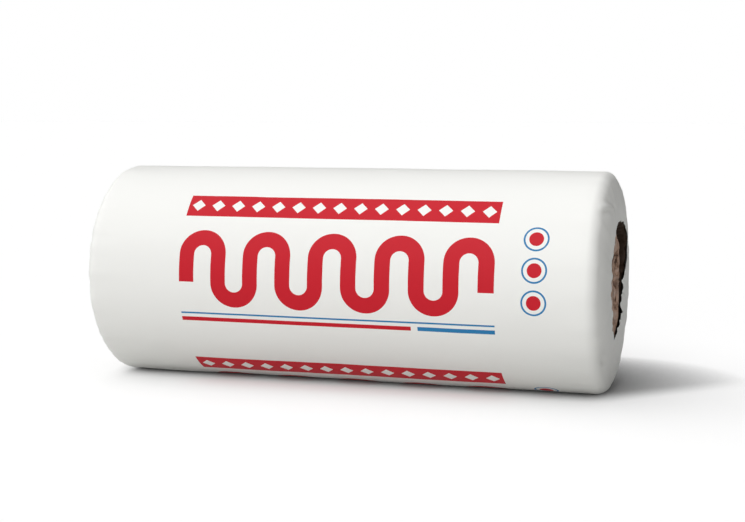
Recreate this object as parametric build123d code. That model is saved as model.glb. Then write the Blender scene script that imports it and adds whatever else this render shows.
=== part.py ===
from build123d import *
from math import cos, radians, sin, tan
import os

# Insulation roll: a mat of mineral wool wound up on itself and held pressed in a sleeve of film.
# Millimetres. +X runs along the roll, +Z is up, and the origin is on the floor under its middle.

# The wrapped roll
roll_length = 1220
roll_diameter = 504

# Soft shoulder, turned in a few flat bands
shoulder_radius = 28
shoulder_bands = 5

# Each end swells a little, sloping out from the shoulder to a flat ring around the mouth
end_slope = 10.4
end_ring_diameter = 332

# Film sleeve
film_wall = 0.4
film_clearance = 0.3

# Torn mouth in each end of the film: its edge, at even steps from the back up over the top,
# as shares of the mouth's size
mouth_size = 130
mouth_edge_shares = (
    0.50, 0.85, 1.31, 1.28, 1.18, 1.10, 1.08, 1.10, 0.95, 0.88, 0.91, 0.88,
    0.88, 0.93, 0.84, 0.95, 0.98, 0.88, 0.83, 0.79, 0.74, 0.72, 0.60, 0.72,
)
left_mouth_turn = 205

# Wound mat: the thickness of one turn, the eye in the middle, and the seam between the turns
turn_thickness = 34
eye_diameter = 40
wool_recess = 7
seam_width = 7
seam_depth = 12
seam_half_turns = 11

# Cutters run past the faces they cut
overrun = 20

roll_radius = roll_diameter / 2
half_length = roll_length / 2
wool_end = half_length - wool_recess


def turned_roll(inset):
    """The roll's outside as a solid turned about X, drawn in by the inset all round."""
    ring_radius = end_ring_diameter / 2
    slope = radians(end_slope)
    centre_radius = roll_radius - shoulder_radius
    centre_x = half_length - (centre_radius - ring_radius) * tan(slope) - shoulder_radius / cos(slope)
    band_turn = (radians(90) - slope) / shoulder_bands
    arc_radius = shoulder_radius - inset
    shoulder = [
        (centre_x + arc_radius * sin(band * band_turn), centre_radius + arc_radius * cos(band * band_turn))
        for band in range(shoulder_bands + 1)
    ]
    right = shoulder + [(half_length - inset, ring_radius), (half_length - inset, 0)]
    left = [(-x, radius) for x, radius in reversed(right)]
    return revolve(make_face(Polyline(*right, *left, close=True)), Axis.X)


def mouth_cutter():
    """The torn mouth as a prism along X, centred on the end of the film."""
    step = radians(360 / len(mouth_edge_shares))
    edge = [
        (share * mouth_size * cos(place * step), share * mouth_size * sin(place * step))
        for place, share in enumerate(mouth_edge_shares)
    ]
    return extrude(Plane.YZ * make_face(Polyline(*edge, close=True)), overrun, both=True)


def seam_half_turn(count):
    """One half turn of the seam cutter; the half turns swing about two centres in turn."""
    side = 1 if count % 2 == 0 else -1
    centre = -side * turn_thickness / 4
    radius = eye_diameter / 2 + turn_thickness / 2 + count * turn_thickness / 2
    start = centre + side * radius
    inner = start - seam_width / 2
    outer = start + seam_width / 2
    section = make_face(
        Polyline(
            (wool_end - seam_depth, start),
            (wool_end, inner),
            (wool_end + overrun, inner),
            (wool_end + overrun, outer),
            (wool_end, outer),
            close=True,
        )
    )
    return revolve(section, Axis((0, centre, 0), (1, 0, 0)), 180)


# The wound mat, with its eye and its turns
seam = [seam_half_turn(count) for count in range(seam_half_turns)]
other_seam = [mirror(piece, about=Plane.YZ) for piece in seam]
wool = turned_roll(film_wall + film_clearance) & Box(2 * wool_end, roll_diameter, roll_diameter)
wool -= Rot(0, 90, 0) * Cylinder(eye_diameter / 2, roll_length)
wool -= seam + other_seam

# The film sleeve, torn open at both ends
mouth = mouth_cutter()
film = turned_roll(0) - turned_roll(film_wall)
film -= Pos(half_length, 0, 0) * mouth
film -= Pos(-half_length, 0, 0) * Rot(left_mouth_turn, 0, 0) * mouth

# The roll lies on its side on the floor
os.makedirs("parts", exist_ok=True)
for name, piece in (("wool_roll", wool), ("wrap_film", film)):
    export_step(Pos(0, 0, roll_radius) * piece, f"parts/{name}.step")
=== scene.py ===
# %% [markdown]
# # An insulation roll in its film sleeve
#
# The roll is two things: a mat of mineral wool wound up on itself, and the printed polyethylene film
# that holds it pressed. The solids come in as a fixed frame, in metres, with +X along the roll and
# the floor at Z = 0. Both are soft, so each gets a mesh of its own that stands for its solid.

# %% The frame
import math

import bpy
import numpy as np
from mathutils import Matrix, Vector, noise


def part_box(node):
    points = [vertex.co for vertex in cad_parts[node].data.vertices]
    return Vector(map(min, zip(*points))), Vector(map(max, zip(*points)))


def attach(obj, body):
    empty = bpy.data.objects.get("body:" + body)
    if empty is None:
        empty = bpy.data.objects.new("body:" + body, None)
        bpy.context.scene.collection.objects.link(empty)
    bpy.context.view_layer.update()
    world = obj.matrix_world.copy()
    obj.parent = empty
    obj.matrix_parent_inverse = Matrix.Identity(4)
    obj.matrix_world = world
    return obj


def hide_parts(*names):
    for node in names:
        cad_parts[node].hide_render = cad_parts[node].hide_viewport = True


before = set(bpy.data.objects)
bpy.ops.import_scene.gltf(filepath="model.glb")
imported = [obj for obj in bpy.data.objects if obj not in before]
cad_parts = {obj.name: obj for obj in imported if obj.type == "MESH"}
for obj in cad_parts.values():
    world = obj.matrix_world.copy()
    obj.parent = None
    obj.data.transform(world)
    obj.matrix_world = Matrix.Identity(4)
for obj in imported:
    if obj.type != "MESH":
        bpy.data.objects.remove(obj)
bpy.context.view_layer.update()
film_low, film_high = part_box("wrap_film")
MM = 0.001
ROLL_RADIUS = (film_high.y - film_low.y) / 2
HALF_LENGTH = (film_high.x - film_low.x) / 2
AXIS_HEIGHT = ROLL_RADIUS
WOOL_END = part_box("wool_roll")[1].x
print("roll", round(2 * ROLL_RADIUS, 3), "m thick and", round(2 * HALF_LENGTH, 3), "m long")
print("the wool lies", round((HALF_LENGTH - WOOL_END) / MM), "mm behind the film at each end")

# %% [markdown]
# ## The camera
#
# The roll lies a little turned, so that its right end just shows, and the eye is a little above it.
# A camera can be set by eye, but here its values were fitted to the roll's outline in the photograph,
# which is 745 by 522 pixels. The shift puts the middle of the roll on its own pixel.

# %% Camera
PHOTO_WIDTH, PHOTO_HEIGHT = 745, 522
FOCAL_PIXELS = 1481.0
SENSOR_WIDTH_MM = 36.0
CAMERA_DISTANCE = 14.004 * ROLL_RADIUS
CAMERA_TURN, CAMERA_RISE = 0.3108, 0.1119
MIDDLE_PIXEL = (361.2, 274.1)

camera_data = bpy.data.cameras.new("camera")
camera_data.sensor_width = SENSOR_WIDTH_MM
camera_data.lens = FOCAL_PIXELS / PHOTO_WIDTH * SENSOR_WIDTH_MM
camera_data.shift_x = (PHOTO_WIDTH / 2 - MIDDLE_PIXEL[0]) / PHOTO_WIDTH
camera_data.shift_y = (MIDDLE_PIXEL[1] - PHOTO_HEIGHT / 2) / PHOTO_WIDTH
camera = bpy.data.objects.new("camera", camera_data)
bpy.context.collection.objects.link(camera)
to_camera = Vector((
    math.sin(CAMERA_TURN) * math.cos(CAMERA_RISE),
    -math.cos(CAMERA_TURN) * math.cos(CAMERA_RISE),
    math.sin(CAMERA_RISE),
))
camera.location = Vector((0, 0, AXIS_HEIGHT)) + to_camera * CAMERA_DISTANCE
camera.rotation_euler = to_camera.to_track_quat("Z", "Y").to_euler()
bpy.context.scene.camera = camera
print("camera at", [round(c, 2) for c in camera.location], "lens", round(camera_data.lens, 1), "mm")

# %% [markdown]
# ## The film's torn mouth
#
# Where the film is drawn in over an end it is torn open. A hole could be cut into a finished mesh, but
# its edge would then run across the faces. Here the edge is a distance from the axis at each angle, and
# the film's rows start from it. The mouth follows the solid's outline, torn a little further at its
# upper back and its lowest corner, with fine teeth, as film tears in small steps. The teeth come from
# Blender's own noise, read point by point, so they are the same on each run.

# %% Noise


def rough(points, scale, offset=0.0):
    """Blender's noise at each point, from about -1 to 1; scale is in bumps for each unit on each axis."""
    scaled = points.reshape(-1, 3) * np.asarray(scale) + offset
    values = np.fromiter((noise.noise(Vector(p)) for p in scaled), float, len(scaled))
    return values.reshape(points.shape[:-1])


def relief(points, waves):
    """Waves of noise added up, each given as its height in millimetres, its scale and its offset."""
    return sum(height * MM * rough(points, scale, offset) for height, scale, offset in waves)


print("noise at a first point", round(float(rough(np.array([[0.1, 0.2, 0.3]]), 1)[0]), 3))

# %% Mouth outlines
FILM_AROUND = 320
MOUTH_SIZE = 130 * MM
# The edge at even steps from the back up over the top, as shares of the mouth's size
MOUTH_EDGE_SHARES = (
    0.50, 1.08, 1.42, 1.25, 1.15, 1.11, 1.08, 1.06, 0.95, 0.88, 0.91, 0.88,
    0.88, 0.93, 0.84, 0.95, 1.04, 0.92, 0.83, 0.79, 0.74, 0.72, 0.60, 0.72,
)
LEFT_MOUTH_TURN = math.radians(205)
TEETH = ((5.0, 9, 0.0), (4.0, 23, 0.0))
RIGHT_TEAR, LEFT_TEAR = 3.3, 7.9

film_angles = np.linspace(0, 2 * math.pi, FILM_AROUND, endpoint=False)


def mouth_radius(angles, turn, tear):
    """How far the torn edge is from the roll's axis at each angle; tear picks the teeth."""
    corners = np.array(MOUTH_EDGE_SHARES + MOUTH_EDGE_SHARES[:1]) * MOUTH_SIZE
    corner_angles = np.linspace(0, 2 * math.pi, len(corners))
    radius = np.interp((angles - turn) % (2 * math.pi), corner_angles, corners)
    circle = np.stack([np.cos(angles), np.sin(angles), np.full_like(angles, tear)], axis=-1)
    return radius + relief(circle, TEETH)


right_mouth = mouth_radius(film_angles, 0.0, RIGHT_TEAR)
left_mouth = mouth_radius(film_angles, LEFT_MOUTH_TURN, LEFT_TEAR)
print("right mouth", round(right_mouth.min(), 3), "to", round(right_mouth.max(), 3), "m from the axis")

# %% [markdown]
# ## The film sleeve
#
# Film this thin has no shape of its own: it takes the shape of the roll. A cloth simulation could
# stretch it over the wool, but so tight a film hardly moves, so its points are placed by code. Its rows
# follow the roll's section from one mouth over the shoulder, along the barrel and over the other
# shoulder. Small moves along the surface's own direction then give it its slack, pleats and lap.

# %% Film section
SHOULDER = 28 * MM
END_FLAT = 162 * MM
END_SLOPE = math.radians(19)
END_ROWS, SHOULDER_ROWS, BARREL_ROWS = 32, 9, 56
CROWDING = 1.3
shoulder_inner = ROLL_RADIUS - SHOULDER + SHOULDER * math.sin(END_SLOPE)
end_rise = math.tan(END_SLOPE) * (shoulder_inner - END_FLAT) / 2
shoulder_x = HALF_LENGTH - end_rise - SHOULDER * math.cos(END_SLOPE)


def end_x(radius):
    """The film's place along X on an end, by distance from the axis: flat, then domed to the shoulder."""
    share = np.clip((radius - END_FLAT) / (shoulder_inner - END_FLAT), 0, None)
    return HALF_LENGTH - end_rise * share ** 2


def end_rows(mouth):
    """Rows from the mouth out to the shoulder, closer together at the mouth: X, radius and tilt."""
    share = np.linspace(0, 1, END_ROWS, endpoint=False)[:, None] ** CROWDING
    radius = mouth + (shoulder_inner - mouth) * share
    return end_x(radius), radius, np.full(radius.shape, math.pi / 2)


def shoulder_rows():
    """Rows of a shoulder, from the end to the barrel: X, radius and tilt."""
    tilt = np.linspace(math.pi / 2 - END_SLOPE, 0, SHOULDER_ROWS, endpoint=False)[:, None]
    tilt = tilt * np.ones(FILM_AROUND)
    return shoulder_x + SHOULDER * np.sin(tilt), ROLL_RADIUS - SHOULDER + SHOULDER * np.cos(tilt), tilt


right = [np.concatenate(parts) for parts in zip(end_rows(right_mouth), shoulder_rows())]
left = [np.concatenate(parts) for parts in zip(end_rows(left_mouth), shoulder_rows())]
barrel_x = np.linspace(-shoulder_x, shoulder_x, BARREL_ROWS)[:, None] * np.ones(FILM_AROUND)
section_x = np.concatenate([-left[0], barrel_x, right[0][::-1]])
section_radius = np.concatenate([left[1], np.full(barrel_x.shape, ROLL_RADIUS), right[1][::-1]])
section_tilt = np.concatenate([-left[2], np.zeros(barrel_x.shape), right[2][::-1]])
print("film rows", section_x.shape)

# %% Film before its moves


def spokes(angles):
    """The direction out from the roll's axis at each angle, from the back up over the top."""
    return np.stack([np.zeros_like(angles), np.cos(angles), np.sin(angles)], axis=-1)


along = np.array([1.0, 0.0, 0.0])
middle = np.array([0.0, 0.0, AXIS_HEIGHT])
film_spokes = spokes(film_angles)
film_points = section_x[..., None] * along + section_radius[..., None] * film_spokes + middle
film_out = np.sin(section_tilt)[..., None] * along + np.cos(section_tilt)[..., None] * film_spokes
circle = film_angles[None, :] * np.ones(section_x.shape)
print("film points", film_points.shape)

# %% [markdown]
# The moves of the film. On the barrel it lies almost flat, with slow swells from the wool beneath.
# Near the ends it is gathered, so pleats grow over the shoulder towards the mouth. One lap, where the
# film's two edges are welded, runs along the roll behind its top. Noise gives all but the lap, because
# no two pleats are alike.

# %% Swells, pleats and lap
SWELLS = ((1.3, (4, 7, 7), 0.0), (0.5, (14, 22, 22), 5.0))
PLEATS = ((2.0, (1, 5, 5), 0.0), (1.2, (1, 12, 12), 3.0))
GATHER_REACH = 90 * MM
ENDS_APART = 2
LAP_ANGLE = math.radians(60)
LAP_REACH = math.radians(26)
LAP_HEIGHT = 1.1 * MM


def ease(x, low, high):
    """A smooth step from 0 at low to 1 at high."""
    t = np.clip((x - low) / (high - low), 0, 1)
    return t * t * (3 - 2 * t)


near_end = ease(np.abs(section_x), shoulder_x - GATHER_REACH, HALF_LENGTH)
pleat_place = np.stack([np.sign(section_x) * ENDS_APART, np.cos(circle), np.sin(circle)], axis=-1)
before_lap = (LAP_ANGLE - circle) / LAP_REACH
lap = LAP_HEIGHT * np.where((before_lap > 0) & (before_lap < 1), 1 - before_lap, 0)
film_moves = relief(film_points, SWELLS) + near_end * relief(pleat_place, PLEATS) + lap
print("swells, pleats and lap reach", round(film_moves.max() / MM, 1), "mm out")

# %% [markdown]
# A few creases are pressed in one by one, where the film was folded over the shoulder and where the roll
# bears on the floor. Sculpting could draw them, but a list of places can be read and changed. Each is
# a soft ridge or furrow between two of them.

# %% Creases
# From and to, each in degrees, millimetres out and millimetres along; then height and width in mm
CREASES = (
    ((131, 243, 591), (112, 188, 609), 9.0, 6),
    ((136, 240, 594), (118, 200, 606), -4.0, 6),
    ((124, 234, 598), (106, 176, 609), -4.5, 6),
    ((221, 229, 600), (229, 205, 606), -5.0, 8),
    ((205, 236, 596), (213, 190, 604), 2.0, 8),
    ((168, 238, 594), (166, 205, 602), -1.8, 8),
    ((62, 238, 594), (74, 180, 606), 2.6, 8),
    ((300, 238, 594), (285, 180, 606), 2.6, 8),
    ((95, 236, -596), (112, 178, -606), 2.8, 8),
    ((200, 238, -594), (190, 190, -604), -2.6, 9),
    ((330, 238, -594), (318, 184, -606), 2.6, 8),
    ((247, 252, -592), (252, 252, -310), -2.6, 6),
    ((252, 252, -592), (256, 252, -330), 2.2, 6),
)
CREASE_TIP = 0.06


def ridge(start, end, height, width):
    """A soft ridge between two places, highest half way and fading past its tips."""
    ends = []
    for degrees, out, x in (start, end):
        turn = math.radians(degrees)
        ends.append(np.array([x, out * math.cos(turn), out * math.sin(turn)]) * MM + middle)
    run = ends[1] - ends[0]
    share = np.clip((film_points - ends[0]) @ run / (run @ run), 0, 1)
    far = np.linalg.norm(film_points - ends[0] - share[..., None] * run, axis=-1)
    rise = np.sin(math.pi * np.clip(share, CREASE_TIP, 1 - CREASE_TIP))
    return height * MM * np.exp(-((far / (width * MM)) ** 2)) * rise


film_moves += sum(ridge(*crease) for crease in CREASES)
print(len(CREASES), "creases")

# %% [markdown]
# The torn lip is free, so it flutters, most of all low at the back. At the upper back it is laid in
# towards the wool, and at the lower front it stands out a little.

# %% Torn lip
LIP_WIDTH = 22 * MM
LIP_FLUTTER = 1.0 * MM
BACK_FLUTTER = 5.0 * MM
LOW_BACK = math.radians(-50)
LAID_IN = 1.5 * MM
UPPER_BACK = math.radians(35)
FLUTTER_SCALE, FLUTTER_OFFSET = (1, 7, 7), 11.0


def back_flutter(angles):
    """How far the lip flutters low at the back, over its flutter elsewhere."""
    return BACK_FLUTTER * np.clip(np.cos(angles - LOW_BACK), 0, 1) ** 2


mouth_row = np.where(section_x > 0, right_mouth, left_mouth)
on_end = np.abs(section_tilt) > (math.pi - END_SLOPE) / 2
lip = np.where(on_end, 1 - ease(section_radius - mouth_row, 0, LIP_WIDTH), 0)
flutter = (LIP_FLUTTER + back_flutter(circle)) * rough(pleat_place, FLUTTER_SCALE, FLUTTER_OFFSET)
film_moves += lip * (flutter - LAID_IN * np.cos(circle - UPPER_BACK))
print("the lip is", round(LIP_WIDTH / MM), "mm wide")

# %% [markdown]
# The points become a mesh of four-sided faces between neighbouring rings. The same function serves
# the wool later, whose rows also close on themselves. Thin film could have an inner skin of its own,
# but the solidify tool keeps its wall even over every pleat.

# %% Mesh from rings


def ring_grid(name, points, closed_rows):
    """A mesh from points[row, place around]; rows can close on themselves too."""
    rows, around = points.shape[:2]
    index = np.arange(rows * around).reshape(rows, around)
    ahead = np.roll(index, -1, axis=0) if closed_rows else index[1:]
    here = index if closed_rows else index[:-1]
    quads = np.stack([here, np.roll(here, -1, 1), np.roll(ahead, -1, 1), ahead], axis=-1)
    mesh = bpy.data.meshes.new(name)
    mesh.from_pydata(points.reshape(-1, 3).tolist(), [], quads.reshape(-1, 4).tolist())
    mesh.polygons.foreach_set("use_smooth", [True] * len(mesh.polygons))
    piece = bpy.data.objects.new(name, mesh)
    bpy.context.collection.objects.link(piece)
    return piece


print("rings to join:", len(film_points))

# %% Film mesh
FLOOR_GAP = 0.2 * MM
FILM_WALL = 0.3 * MM

film_points += film_out * film_moves[..., None]
film_points[..., 2] = np.maximum(film_points[..., 2], FLOOR_GAP)
film = ring_grid("film_sleeve", film_points, closed_rows=False)
wall = film.modifiers.new("film wall", "SOLIDIFY")
wall.thickness = FILM_WALL
wall.offset = -1
print("film sleeve", len(film.data.polygons), "faces")

# %% [markdown]
# The print runs around the roll, so the film keeps its own flat measure: metres along the roll and
# metres around it, up from the middle of the front as far as the lap, and down from there under the
# roll and up the back to the lap again. It is stored as a texture map, which the material reads, so
# the print follows the film over its swells and shoulders.

# %% Film measure
step_along = np.linalg.norm(np.diff(film_points, axis=0), axis=2)
flat_along = np.concatenate([np.zeros((1, FILM_AROUND)), np.cumsum(step_along, axis=0)])
flat_along -= flat_along[len(flat_along) // 2]
from_lap = np.where(circle > LAP_ANGLE, circle, circle + 2 * math.pi)
flat_around = (math.pi - from_lap) * ROLL_RADIUS

measure = film.data.uv_layers.new(name="flat_measure")
loop_vertex = np.empty(len(film.data.loops), int)
film.data.loops.foreach_get("vertex_index", loop_vertex)
flat = np.stack([flat_along.ravel()[loop_vertex], flat_around.ravel()[loop_vertex]], axis=-1)

# Faces that cross the lap have corners at both ends of the measure; the high ones are brought round
corners = flat.reshape(-1, 4, 2)
wrapped = corners[:, :, 1].max(1) - corners[:, :, 1].min(1) > ROLL_RADIUS
high_corner = wrapped[:, None] & (corners[:, :, 1] > 0)
corners[..., 1] -= high_corner * 2 * math.pi * ROLL_RADIUS
measure.data.foreach_set("uv", corners.ravel())
print("film is", round(flat_along.max() - flat_along.min(), 2), "m from mouth to mouth")

# %% [markdown]
# ## The wound mat
#
# Seen from an end, the mat is a spiral of turns. It could be made as one long sheet rolled up, but only
# the ends show, so it is a closed form with its ends in relief. Each end is a grid in rings and spokes
# whose heights carry the turns, which swell between their seams, the felted layers that follow the
# turns, and the tufts.

# %% Turns of the mat
WOOL_AROUND, WOOL_RINGS = 380, 120
EYE_RADIUS = 20 * MM
TURN = 34 * MM
SEAM_START = 28.5 * MM
SEAM_DEPTH = 8 * MM
UNDER_BARREL = 3 * MM
# Neighbouring turns read the noise this far apart, so that each has waves of its own
TURNS_APART = 3.7
TURN_WAVES = ((4.0, (1, 1.4, 1.4), 0.0), (1.6, (1, 4.5, 4.5), 0.0))
TUFT_WAVES = ((1.6, 42, 0.0), (0.6, 110, 0.0), (0.3, 260, 0.0))
LAYER_HEIGHT, LAYER_SCALE = 3.0, (3.6, 1.4, 1.4)

wool_angles = np.linspace(0, 2 * math.pi, WOOL_AROUND, endpoint=False)
wool_spokes = spokes(wool_angles)
wool_shoulder = ROLL_RADIUS - UNDER_BARREL - SHOULDER
end_radius = np.linspace(EYE_RADIUS, wool_shoulder, WOOL_RINGS)[:, None] * np.ones(WOOL_AROUND)
turns = (end_radius - SEAM_START) / TURN - wool_angles / (2 * math.pi)
turn_number = np.floor(turns)
near_seam = np.abs(2 * (turns - turn_number) - 1)


def wool_heights(seed):
    """How far the wool of an end stands out at each point of its grid; seed picks its waves."""
    place = end_radius[..., None] * wool_spokes + np.array([seed, 0, 0])
    around = [np.cos(wool_angles) + 0 * turns, np.sin(wool_angles) + 0 * turns]
    layer_place = np.stack([turns, *around], axis=-1)
    turn_place = np.stack([turn_number * TURNS_APART + seed, *around], axis=-1)
    height = -SEAM_DEPTH * near_seam ** 3
    height += relief(turn_place, TURN_WAVES)
    height += relief(layer_place, ((LAYER_HEIGHT, LAYER_SCALE, seed),))
    height += relief(place, TUFT_WAVES)
    return height


print("about", round((wool_shoulder - EYE_RADIUS) / TURN, 1), "turns from the eye to the shoulder")

# %% [markdown]
# Towards the back and the top of the mouth the loose middle has slumped, which leaves a hollow
# under the film's lip, dark in its own shade and darkened further by painted shade. Its edge runs up
# almost straight and rounds over at the top. A low ridge, the brink, follows that edge and smooths out
# the turns, and past the hollow the wool rises again to the lip as a far wall. On the left end the
# hollow is turned with the mouth. A cutter could scoop it out, but heights on the grid keep its edge
# soft, and the grid also tells the material where to paint shade, in the hollow and in the seams.

# %% Hollow
HOLLOW_FRONT, HOLLOW_ACROSS = -130 * MM, 150 * MM
HOLLOW_FOOT, HOLLOW_UP = 20 * MM, 104 * MM
HOLLOW_SLOPE = 0.15
BRINK_PLACE, BRINK_WIDTH = 0.92, 0.1
# Painted shade in the seams: how dark it gets, and where across a seam it starts and is full
SEAM_SHADE = 0.75
SEAM_EDGE, SEAM_CORE = 0.5, 0.9


def past_edge(turn):
    """How far a point is towards the hollow, 1 on its edge, with the mouth turned about the axis."""
    back = end_radius * np.cos(wool_angles - turn)
    up = end_radius * np.sin(wool_angles - turn)
    across_share = np.clip(back - HOLLOW_FRONT, 0, None) / HOLLOW_ACROSS
    up_share = np.clip(up - HOLLOW_FOOT, 0, None) / HOLLOW_UP
    return np.cbrt(across_share ** 3 + up_share ** 3)


def hollow_share(turn):
    """Where the loose middle has sunk, from 0 to 1."""
    return ease(past_edge(turn), 1.0, 1.0 + HOLLOW_SLOPE)


def brink(turn):
    """The ridge along the hollow's edge, from 0 to 1."""
    return np.exp(-(((past_edge(turn) - BRINK_PLACE) / BRINK_WIDTH) ** 2))


def shade(turn):
    """How much painted shade darkens the wool, from 0 to 1: deep in the hollow, and in the seams away from
    the brink.
    """
    in_seam = SEAM_SHADE * ease(near_seam, SEAM_EDGE, SEAM_CORE) * (1 - brink(turn))
    return np.maximum(hollow_share(turn), in_seam)


print("the hollow takes", round(100 * hollow_share(0.0).mean()), "% of an end's points")

# %% Wool ends
SLUMP = 60 * MM
BRINK_HEIGHT, BRINK_CALM = 5 * MM, 0.8
WOOL_PROUD = 3 * MM
WALL_FOOT, WALL_TOP = -16 * MM, -2 * MM
MOUTH_ROOM, LIP_ROOM, UNDER_FILM = 1 * MM, 2 * MM, 9 * MM
LIP_APPROACH, UNDER_REACH = 25 * MM, 40 * MM
RIGHT_WOOL, LEFT_WOOL = 1.7, 4.2


def wool_end_points(side, turn, tear, seed):
    """The points of one end, from the eye out to the shoulder, kept under the film."""
    past_lip = end_radius - mouth_radius(wool_angles, turn, tear)
    far_wall = ease(past_lip, WALL_FOOT, WALL_TOP)
    heights = wool_heights(seed) * (1 - BRINK_CALM * brink(turn)) + BRINK_HEIGHT * brink(turn)
    x = WOOL_END + WOOL_PROUD + heights - SLUMP * hollow_share(turn) * (1 - far_wall)
    at_lip = LIP_ROOM + back_flutter(wool_angles)
    room = MOUTH_ROOM + at_lip * ease(past_lip, -LIP_APPROACH, 0)
    room += (UNDER_FILM - MOUTH_ROOM - LIP_ROOM) * ease(past_lip, 0, UNDER_REACH)
    x = np.minimum(x, end_x(end_radius) - room)
    return side * x[..., None] * along + end_radius[..., None] * wool_spokes + middle


right_end = wool_end_points(1, 0.0, RIGHT_TEAR, RIGHT_WOOL)
left_end = wool_end_points(-1, LEFT_MOUTH_TURN, LEFT_TEAR, LEFT_WOOL)
deepest, highest = right_end[..., 0].min(), right_end[..., 0].max()
print("right wool end from", round(deepest, 3), "to", round(highest, 3), "m along the roll")

# %% Wool body
WOOL_SHOULDER_ROWS = 5

tilt = np.linspace(math.pi / 2, 0, WOOL_SHOULDER_ROWS + 1)[1:, None] * np.ones(WOOL_AROUND)
body_x = shoulder_x - UNDER_FILM + SHOULDER * np.sin(tilt)
body_radius = wool_shoulder + SHOULDER * np.cos(tilt)
right_body = body_x[..., None] * along + body_radius[..., None] * wool_spokes + middle
left_body = right_body * np.array([-1, 1, 1])
wool_points = np.concatenate([right_end, right_body, left_body[::-1], left_end[::-1]])
wool = ring_grid("wound_mat", wool_points, closed_rows=True)

# The ends carry painted shade for the material, deep in the hollow and in the seams; the body has none
no_shade = np.zeros(right_body.shape[:2])
wool_shade = np.concatenate([shade(0.0), no_shade, no_shade, shade(LEFT_MOUTH_TURN)[::-1]])
wool.data.attributes.new("shade", "FLOAT", "POINT").data.foreach_set("value", wool_shade.ravel())
print("wound mat", len(wool.data.polygons), "faces")

# %% [markdown]
# ## Mineral wool
#
# Brown mineral wool is spun rock or glass fibre held by a sugar-based binder. It is dead matt, and its
# colour runs from tan to dark brown. A picture could give that, but noise in
# real millimetres needs none and never repeats. Colour follows the tufts most, then the layers, which
# run around the roll, and least the fibres. The mesh also says where painted shade darkens the wool,
# deep in the hollow and in the seams.
#
# Colours are written as the hex values that a paint program shows, and turned to the linear values
# that Blender works in. Every node comes from one function, which takes the settings and what goes
# into its sockets.

# %% Colours and nodes


def linear(hex_colour):
    """An sRGB hex colour as linear red, green, blue and alpha."""
    parts = [int(hex_colour[i:i + 2], 16) / 255 for i in (1, 3, 5)]
    return (*[c / 12.92 if c <= 0.04045 else ((c + 0.055) / 1.055) ** 2.4 for c in parts], 1.0)


def add(tree, kind, sockets=None, **settings):
    """A new node with its settings; a socket, by name or number, takes a value, an output or a node."""
    node = tree.nodes.new(kind)
    for name, value in settings.items():
        setattr(node, name, value)
    in_use = [socket for socket in node.inputs if socket.enabled]
    for name, value in (sockets or {}).items():
        socket = node.inputs[name] if isinstance(name, int) else next(s for s in in_use if s.name == name)
        if isinstance(value, bpy.types.Node):
            value = next(output for output in value.outputs if output.enabled)
        if isinstance(value, bpy.types.NodeSocket):
            tree.links.new(value, socket)
        else:
            socket.default_value = value
    return node


def new_material(name):
    """A material with an empty node tree."""
    material = bpy.data.materials.new(name)
    material.use_nodes = True
    material.node_tree.nodes.clear()
    return material, material.node_tree


print("the middle grey #808080 is", round(linear("#808080")[0], 3), "in linear light")

# %% Wool noises
TUFT = 26 * MM
LAYER = 10 * MM
LAYERS_AROUND = 2.0
# A single fibre is far too fine to show, so fibres are drawn as strands this wide
FIBRE = 2.5 * MM

mineral_wool, tree = new_material("mineral wool")
place = add(tree, "ShaderNodeTexCoord").outputs["Object"]
from_axis = add(tree, "ShaderNodeVectorMath", {0: place, 1: (0, 0, AXIS_HEIGHT)}, operation="SUBTRACT")
across = add(tree, "ShaderNodeVectorMath", {0: from_axis, 1: (0, 1, 1)}, operation="MULTIPLY")
radius = add(tree, "ShaderNodeVectorMath", {0: across}, operation="LENGTH")
direction = add(tree, "ShaderNodeVectorMath", {0: across}, operation="NORMALIZE")
layer_count = add(tree, "ShaderNodeMath", {0: radius, 1: LAYER}, operation="DIVIDE")
layer_step = add(tree, "ShaderNodeCombineXYZ", {"X": layer_count})
layer_place = add(
    tree, "ShaderNodeVectorMath", {0: direction, 1: (LAYERS_AROUND,) * 3, 2: layer_step},
    operation="MULTIPLY_ADD",
)
layers = add(tree, "ShaderNodeTexNoise", {
    "Vector": layer_place, "Scale": 1.0, "Detail": 4, "Roughness": 0.6,
})
tufts = add(tree, "ShaderNodeTexNoise", {
    "Vector": place, "Scale": 1 / TUFT, "Detail": 5, "Roughness": 0.65,
})
fibres = add(tree, "ShaderNodeTexNoise", {
    "Vector": place, "Scale": 1 / FIBRE, "Detail": 3, "Distortion": 1.5,
})
print("wool noises:", len(tree.nodes), "nodes")

# %% Wool colour
TUFT_WEIGHT, LAYER_WEIGHT, FIBRE_WEIGHT = 2.4, 1.0, 0.6
WOOL_COLOURS = ((0.40, "#533D31"), (0.48, "#C4A08A"), (1.0, "#FFFFFF"))
# Painted shade: a near-black brown laid over the wool colour where the mesh's shade is high
PAINTED_SHADE_BROWN, PAINTED_SHADE_STRENGTH = "#2A1C14", 0.93

tone = add(tree, "ShaderNodeMath", {0: fibres, 1: FIBRE_WEIGHT, 2: layers}, operation="MULTIPLY_ADD")
tone = add(tree, "ShaderNodeMath", {0: tufts, 1: TUFT_WEIGHT, 2: tone}, operation="MULTIPLY_ADD")
all_weights = TUFT_WEIGHT + LAYER_WEIGHT + FIBRE_WEIGHT
tone_share = add(tree, "ShaderNodeMath", {0: tone, 1: 1 / all_weights}, operation="MULTIPLY")
wool_colour = add(tree, "ShaderNodeValToRGB", {"Fac": tone_share})
wool_colour.color_ramp.elements.new(0.5)
for element, (position, colour) in zip(wool_colour.color_ramp.elements, WOOL_COLOURS):
    element.position = position
    element.color = linear(colour)
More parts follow.
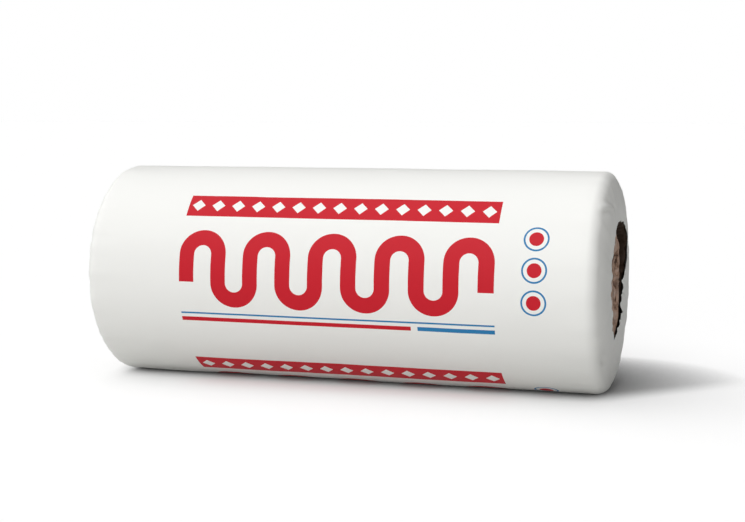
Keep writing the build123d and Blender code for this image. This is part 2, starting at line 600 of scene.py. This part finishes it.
# Painted shade: the mesh's shade darkens the wool deep in the hollow and in the seams
mesh_shade = add(tree, "ShaderNodeAttribute", attribute_name="shade").outputs["Fac"]
painted_shade_share = add(tree, "ShaderNodeMath", {0: mesh_shade, 1: PAINTED_SHADE_STRENGTH}, operation="MULTIPLY")
shaded_wool = add(
    tree, "ShaderNodeMix", {"Factor": painted_shade_share, "A": wool_colour, "B": linear(PAINTED_SHADE_BROWN)},
    data_type="RGBA",
)
print("wool colours:", [colour for position, colour in WOOL_COLOURS])

# %% Wool surface
FIBRE_RISE = 1.2 * MM

wool_bump = add(tree, "ShaderNodeBump", {"Height": fibres, "Strength": 0.8, "Distance": FIBRE_RISE})
# Mineral wool gives the eye a dry, tufted brown with no highlight
wool_surface = add(tree, "ShaderNodeBsdfPrincipled", {
    "Base Color": shaded_wool,
    "Roughness": 0.95,
    "IOR": 1.45,
    "Specular IOR Level": 0.2,
    "Normal": wool_bump,
})
add(tree, "ShaderNodeOutputMaterial", {"Surface": wool_surface})
wool.data.materials.append(mineral_wool)
print("mineral wool:", len(tree.nodes), "nodes")

# %% [markdown]
# ## Printed polyethylene film
#
# The film is blown polyethylene, milky white, printed in two inks before it is wrapped. It has a faint
# satin gloss, low enough to leave the red deep, and a very fine crinkle. The print is a plain one of
# bars, loops, rings and diamonds. A picture would blur close up, so each shape is drawn by nodes, as a
# distance on the film's own flat measure, and the whole repeats around the roll.

# %% Print measure
REPEAT = 430 * MM
PRINT_SHIFT = 70 * MM

polyethylene_film, tree = new_material("polyethylene film")
flat_place = add(tree, "ShaderNodeUVMap", uv_map="flat_measure")
split = add(tree, "ShaderNodeSeparateXYZ", {0: flat_place})
u, flat_v = split.outputs["X"], split.outputs["Y"]
shifted_v = add(tree, "ShaderNodeMath", {0: flat_v, 1: PRINT_SHIFT}, operation="SUBTRACT")
v = add(tree, "ShaderNodeMath", {0: shifted_v, 1: REPEAT / 2, 2: -REPEAT / 2}, operation="WRAP")
print_place = add(tree, "ShaderNodeCombineXYZ", {"X": u, "Y": v})
print("the print repeats every", round(REPEAT / MM), "mm around the roll")

# %% Print shapes


def printed_bar(u_from, u_to, v_from, v_to):
    """A printed rectangle, in millimetres on the film."""
    covers = []
    for measured, low, high in ((u, u_from, u_to), (v, v_from, v_to)):
        sockets = {0: measured, 1: (low + high) / 2 * MM, 2: (high - low) / 2 * MM}
        covers.append(add(tree, "ShaderNodeMath", sockets, operation="COMPARE"))
    return add(tree, "ShaderNodeMath", {0: covers[0], 1: covers[1]}, operation="MULTIPLY")


def printed_ring(u_middle, v_middle, radius, line):
    """A printed ring in millimetres; a line twice as wide as the radius makes a dot."""
    ring_middle = (u_middle * MM, v_middle * MM, 0)
    far = add(tree, "ShaderNodeVectorMath", {0: print_place, 1: ring_middle}, operation="DISTANCE")
    sockets = {0: far, 1: radius * MM, 2: line / 2 * MM}
    return add(tree, "ShaderNodeMath", sockets, operation="COMPARE")


def together(first, *others):
    """Everything that any of the shapes covers."""
    for other in others:
        first = add(tree, "ShaderNodeMath", {0: first, 1: other}, operation="MAXIMUM")
    return first


print("shapes: bar, ring and dot")

# %% [markdown]
# The loops are upright strokes joined by half rings, above and below in turn. One half ring, repeated
# along the roll and shifted by one stroke below the middle, draws them all.

# %% Loops
PRINT_HALF = 369
LOOP, LOOP_LINE = 78, 36
LOOP_MIDDLE, LOOP_HALF_HEIGHT = -40, 32
LOOP_TOP, LOOP_END, LOOP_FOOT = 50, -72, -130

loops_up = add(tree, "ShaderNodeMath", {0: v, 1: -LOOP_MIDDLE * MM}, operation="ADD")
below = add(tree, "ShaderNodeMath", {0: loops_up, 1: 0.0}, operation="LESS_THAN")
loop_shift = add(tree, "ShaderNodeMath", {0: below, 1: LOOP * MM, 2: u}, operation="MULTIPLY_ADD")
loop_u = add(tree, "ShaderNodeMath", {0: loop_shift, 1: LOOP * MM, 2: -LOOP * MM}, operation="WRAP")
height = add(tree, "ShaderNodeMath", {0: loops_up}, operation="ABSOLUTE")
over = add(tree, "ShaderNodeMath", {0: height, 1: LOOP_HALF_HEIGHT * MM}, operation="SUBTRACT")
loop_v = add(tree, "ShaderNodeMath", {0: over, 1: 0.0}, operation="MAXIMUM")
loop_place = add(tree, "ShaderNodeCombineXYZ", {"X": loop_u, "Y": loop_v})
loop_far = add(tree, "ShaderNodeVectorMath", {0: loop_place}, operation="LENGTH")
loop_line = add(
    tree, "ShaderNodeMath", {0: loop_far, 1: LOOP / 2 * MM, 2: LOOP_LINE / 2 * MM}, operation="COMPARE"
)
loop_field = together(
    printed_bar(-PRINT_HALF, PRINT_HALF, LOOP_END, LOOP_TOP),
    printed_bar(LOOP - PRINT_HALF, PRINT_HALF - LOOP, LOOP_FOOT, LOOP_TOP),
)
loops = add(tree, "ShaderNodeMath", {0: loop_line, 1: loop_field}, operation="MULTIPLY")
print("loops", LOOP, "mm from stroke to stroke")

# %% Band of diamonds
BAND_LOW, BAND_HIGH = 85, 145
DIAMOND_STEP, DIAMOND = 49.2, 16

diamond_u = add(tree, "ShaderNodeMath", {0: u, 1: DIAMOND_STEP / 2 * MM}, operation="PINGPONG")
band_v = add(tree, "ShaderNodeMath", {0: v, 1: (BAND_LOW + BAND_HIGH) / 2 * MM}, operation="SUBTRACT")
diamond_v = add(tree, "ShaderNodeMath", {0: band_v}, operation="ABSOLUTE")
diamond_far = add(tree, "ShaderNodeMath", {0: diamond_u, 1: diamond_v}, operation="ADD")
off_diamond = add(tree, "ShaderNodeMath", {0: diamond_far, 1: DIAMOND * MM}, operation="GREATER_THAN")
whole_band = printed_bar(-PRINT_HALF, PRINT_HALF, BAND_LOW, BAND_HIGH)
band = add(tree, "ShaderNodeMath", {0: whole_band, 1: off_diamond}, operation="MULTIPLY")
print("a band", BAND_HIGH - BAND_LOW, "mm high with white diamonds")

# %% Inks
PRINT_TOP = 250 * MM
RULE_LOW, RULE_HIGH = -166, -156
RED_RULE_END, BLUE_RULE_START = 180, 195
FINE_LOW, FINE_HIGH = -148, -144
RING_U, RING_PLACES = 455, (50, -20, -90)
DOT_RADIUS, RING_RADIUS, RING_LINE = 8, 26, 4

red_shapes = together(
    loops,
    band,
    printed_bar(-PRINT_HALF, RED_RULE_END, RULE_LOW, RULE_HIGH),
    *[printed_ring(RING_U, ring_v, DOT_RADIUS, 2 * DOT_RADIUS) for ring_v in RING_PLACES],
)
blue_shapes = together(
    printed_bar(-PRINT_HALF, PRINT_HALF, FINE_LOW, FINE_HIGH),
    printed_bar(BLUE_RULE_START, PRINT_HALF, RULE_LOW, RULE_HIGH),
    *[printed_ring(RING_U, ring_v, RING_RADIUS, RING_LINE) for ring_v in RING_PLACES],
)
below_top = add(tree, "ShaderNodeMath", {0: flat_v, 1: PRINT_TOP}, operation="LESS_THAN")
red_ink = add(tree, "ShaderNodeMath", {0: red_shapes, 1: below_top}, operation="MULTIPLY")
blue_ink = add(tree, "ShaderNodeMath", {0: blue_shapes, 1: below_top}, operation="MULTIPLY")
print("film print:", len(tree.nodes), "nodes")

# %% Film surface
CRINKLE, CRINKLE_RISE = 9 * MM, 0.5 * MM
MILKY_WHITE, RED, BLUE = "#F5F5F2", "#CB1F2D", "#2F7FB5"

film_place = add(tree, "ShaderNodeTexCoord").outputs["Object"]
crinkle = add(tree, "ShaderNodeTexNoise", {
    "Vector": film_place, "Scale": 1 / CRINKLE, "Detail": 3, "Distortion": 0.6,
})
film_bump = add(tree, "ShaderNodeBump", {"Height": crinkle, "Strength": 0.12, "Distance": CRINKLE_RISE})
with_red = add(
    tree, "ShaderNodeMix", {"Factor": red_ink, "A": linear(MILKY_WHITE), "B": linear(RED)}, data_type="RGBA"
)
with_blue = add(
    tree, "ShaderNodeMix", {"Factor": blue_ink, "A": with_red, "B": linear(BLUE)}, data_type="RGBA"
)
# Polyethylene film gives the eye a milky white and full inks under a soft, faint sheen
film_surface = add(tree, "ShaderNodeBsdfPrincipled", {
    "Base Color": with_blue,
    "Roughness": 0.5,
    "IOR": 1.51,
    "Specular IOR Level": 0.15,
    "Normal": film_bump,
})
add(tree, "ShaderNodeOutputMaterial", {"Surface": film_surface})
film.data.materials.append(polyethylene_film)
print("polyethylene film:", len(tree.nodes), "nodes")

# %% [markdown]
# ## Floor
#
# A white floor, rolled with matt paint, runs to the horizon. The camera, and what mirrors or lets light
# through, see it white with the roll's shadow, cast by the lamps and deepened by a painted shadow, while
# the light that it throws back on the roll is that of a pale grey floor.
#
# Half of the white that is seen is lit by the lamps, and half is the floor's own glow, and both carry a
# painted shadow close to the roll. Other lamps could deepen the shadow's root, but they would change the
# roll too. So both halves are darkened by painted shadow where the roll stands close in front or on the
# left, which counts only behind the line where the roll bears on the floor. Past the right end that line
# slants back, and past the left end so steeply that the floor there stays white.

# %% Floor sheet
FLOOR_REACH = 60.0

floor_corners = [(x * FLOOR_REACH, y * FLOOR_REACH, 0.0) for x, y in ((-1, -1), (1, -1), (1, 1), (-1, 1))]
floor_mesh = bpy.data.meshes.new("floor")
floor_mesh.from_pydata(floor_corners, [], [(0, 1, 2, 3)])
floor = bpy.data.objects.new("floor", floor_mesh)
bpy.context.collection.objects.link(floor)
print("floor", round(2 * FLOOR_REACH), "m across")

# %% What the roll hides from the floor
FRONT_LEFT = (-0.45, -0.9, 0.0)
LEFT_REACH, ABOVE_REACH = 0.32, 0.6
OCCLUSION_SAMPLES = 16
BEHIND, BEFORE = 0.04, -0.14
SLANT_RIGHT, SLANT_LEFT = -1.0, 4.0

floor_paint, tree = new_material("matt floor paint")
# Painted shadow: how much the roll hides from each floor point, towards the front left and above
front_left = add(tree, "ShaderNodeCombineXYZ", dict(zip("XYZ", FRONT_LEFT)))
open_left = add(
    tree, "ShaderNodeAmbientOcclusion", {"Normal": front_left, "Distance": LEFT_REACH},
    samples=OCCLUSION_SAMPLES,
)
open_above = add(tree, "ShaderNodeAmbientOcclusion", {"Distance": ABOVE_REACH}, samples=OCCLUSION_SAMPLES)
floor_place = add(tree, "ShaderNodeTexCoord").outputs["Object"]
floor_split = add(tree, "ShaderNodeSeparateXYZ", {0: floor_place})
floor_x, floor_y = floor_split.outputs["X"], floor_split.outputs["Y"]
past_right = add(tree, "ShaderNodeMath", {0: floor_x, 1: HALF_LENGTH}, operation="SUBTRACT")
past_right = add(tree, "ShaderNodeMath", {0: past_right, 1: 0.0}, operation="MAXIMUM")
past_left = add(tree, "ShaderNodeMath", {0: floor_x, 1: HALF_LENGTH}, operation="ADD")
past_left = add(tree, "ShaderNodeMath", {0: past_left, 1: 0.0}, operation="MINIMUM")
slanted = add(tree, "ShaderNodeMath", {0: past_right, 1: SLANT_RIGHT, 2: floor_y}, operation="MULTIPLY_ADD")
slanted = add(tree, "ShaderNodeMath", {0: past_left, 1: SLANT_LEFT, 2: slanted}, operation="MULTIPLY_ADD")
before = add(
    tree, "ShaderNodeMapRange", {"Value": slanted, "From Min": BEHIND, "From Max": BEFORE},
    interpolation_type="SMOOTHSTEP",
)
print("the floor darkens within", LEFT_REACH, "m of the roll")

# %% Floor paint
SEEN_WHITE = 1.16
FLOOR_GREY = "#D0D0CE"
LEFT_POWER, PLAIN_LEFT_POWER, ABOVE_POWER = 2.0, 2.0, 0.3
PLAIN_SHARE = 0.5

# Painted shadow: the seen white and the floor's own glow are darkened close to the roll
left_open = open_left.outputs["AO"]
left_share = add(tree, "ShaderNodeMath", {0: left_open, 1: LEFT_POWER}, operation="POWER")
painted_shadow_share = add(tree, "ShaderNodeMix", {"Factor": before, "A": left_share, "B": 1.0}, data_type="FLOAT")
above_open = open_above.outputs["AO"]
above_share = add(tree, "ShaderNodeMath", {0: above_open, 1: ABOVE_POWER}, operation="POWER")
plain_left = add(tree, "ShaderNodeMath", {0: painted_shadow_share, 1: PLAIN_LEFT_POWER}, operation="POWER")
glow_with_painted_shadow = add(tree, "ShaderNodeMath", {0: above_share, 1: plain_left}, operation="MULTIPLY")

ray = add(tree, "ShaderNodeLightPath").outputs
seen = add(
    tree, "ShaderNodeMath", {0: ray["Is Camera Ray"], 1: ray["Is Glossy Ray"]}, operation="MAXIMUM"
)
seen = add(tree, "ShaderNodeMath", {0: seen, 1: ray["Is Transmission Ray"]}, operation="MAXIMUM")
seen_white = add(
    tree, "ShaderNodeVectorMath", {0: (SEEN_WHITE,) * 3, "Scale": painted_shadow_share}, operation="SCALE"
)
floor_colour = add(
    tree, "ShaderNodeMix", {"Factor": seen, "A": linear(FLOOR_GREY), "B": seen_white}, data_type="RGBA"
)
# Matt floor paint gives the eye an even white that only the roll's shadow breaks, cast by the lamps and
# deepened by painted shadow
lit_floor = add(tree, "ShaderNodeBsdfDiffuse", {"Color": floor_colour})
plain_floor = add(tree, "ShaderNodeEmission", {"Color": glow_with_painted_shadow, "Strength": 1.0})
plain_share = add(tree, "ShaderNodeMath", {0: seen, 1: PLAIN_SHARE}, operation="MULTIPLY")
floor_surface = add(tree, "ShaderNodeMixShader", {0: plain_share, 1: lit_floor, 2: plain_floor})
add(tree, "ShaderNodeOutputMaterial", {"Surface": floor_surface})
floor_mesh.materials.append(floor_paint)
print("matt floor paint:", len(tree.nodes), "nodes")

# %% [markdown]
# ## Light
#
# A very wide soft lamp stands high on the left, so the shadow falls to the right and soon fades. Two
# smaller lamps stand before the roll, one high and one low, and a faint even sky fills the rest. Sun
# lamps are used, because they light the whole roll alike from end to end.

# %% Lamps
# Name, the direction it stands in, strength, and how wide it looks in degrees
LAMPS = (
    ("wide lamp on the left", (-0.44, -0.14, 0.88), 2.00, 90),
    ("high lamp before the roll", (0.0, -0.74, 0.67), 0.82, 32),
    ("low lamp before the roll", (0.0, -0.97, 0.24), 0.67, 32),
)
for name, towards, strength, spread in LAMPS:
    lamp_data = bpy.data.lights.new(name, "SUN")
    lamp_data.energy = strength
    lamp_data.angle = math.radians(spread)
    lamp = bpy.data.objects.new(name, lamp_data)
    bpy.context.collection.objects.link(lamp)
    lamp.rotation_euler = Vector(towards).to_track_quat("Z", "Y").to_euler()
print("lamps:", [row[0] for row in LAMPS])

# %% Sky
SKY, SEEN_SKY = 0.075, 1.0

world = bpy.data.worlds.new("studio")
bpy.context.scene.world = world
world.use_nodes = True
tree = world.node_tree
tree.nodes.clear()
ray = add(tree, "ShaderNodeLightPath").outputs
seen = add(
    tree, "ShaderNodeMath", {0: ray["Is Camera Ray"], 1: ray["Is Transmission Ray"]}, operation="MAXIMUM"
)
sky_strength = add(tree, "ShaderNodeMix", {"Factor": seen, "A": SKY, "B": SEEN_SKY}, data_type="FLOAT")
sky = add(tree, "ShaderNodeBackground", {"Color": (1, 1, 1, 1), "Strength": sky_strength})
add(tree, "ShaderNodeOutputWorld", {"Surface": sky})
bpy.context.scene.view_settings.view_transform = "Standard"
print("a sky of", SKY)

# %% [markdown]
# ## The pieces on the body
#
# Each piece rides on the roll's one body and stands for its solid, whose part is hidden.

# %% Pieces
for piece, node, finish in ((film, "wrap_film", "polyethylene_film"), (wool, "wool_roll", "mineral_wool")):
    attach(piece, "root")
    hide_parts(node)
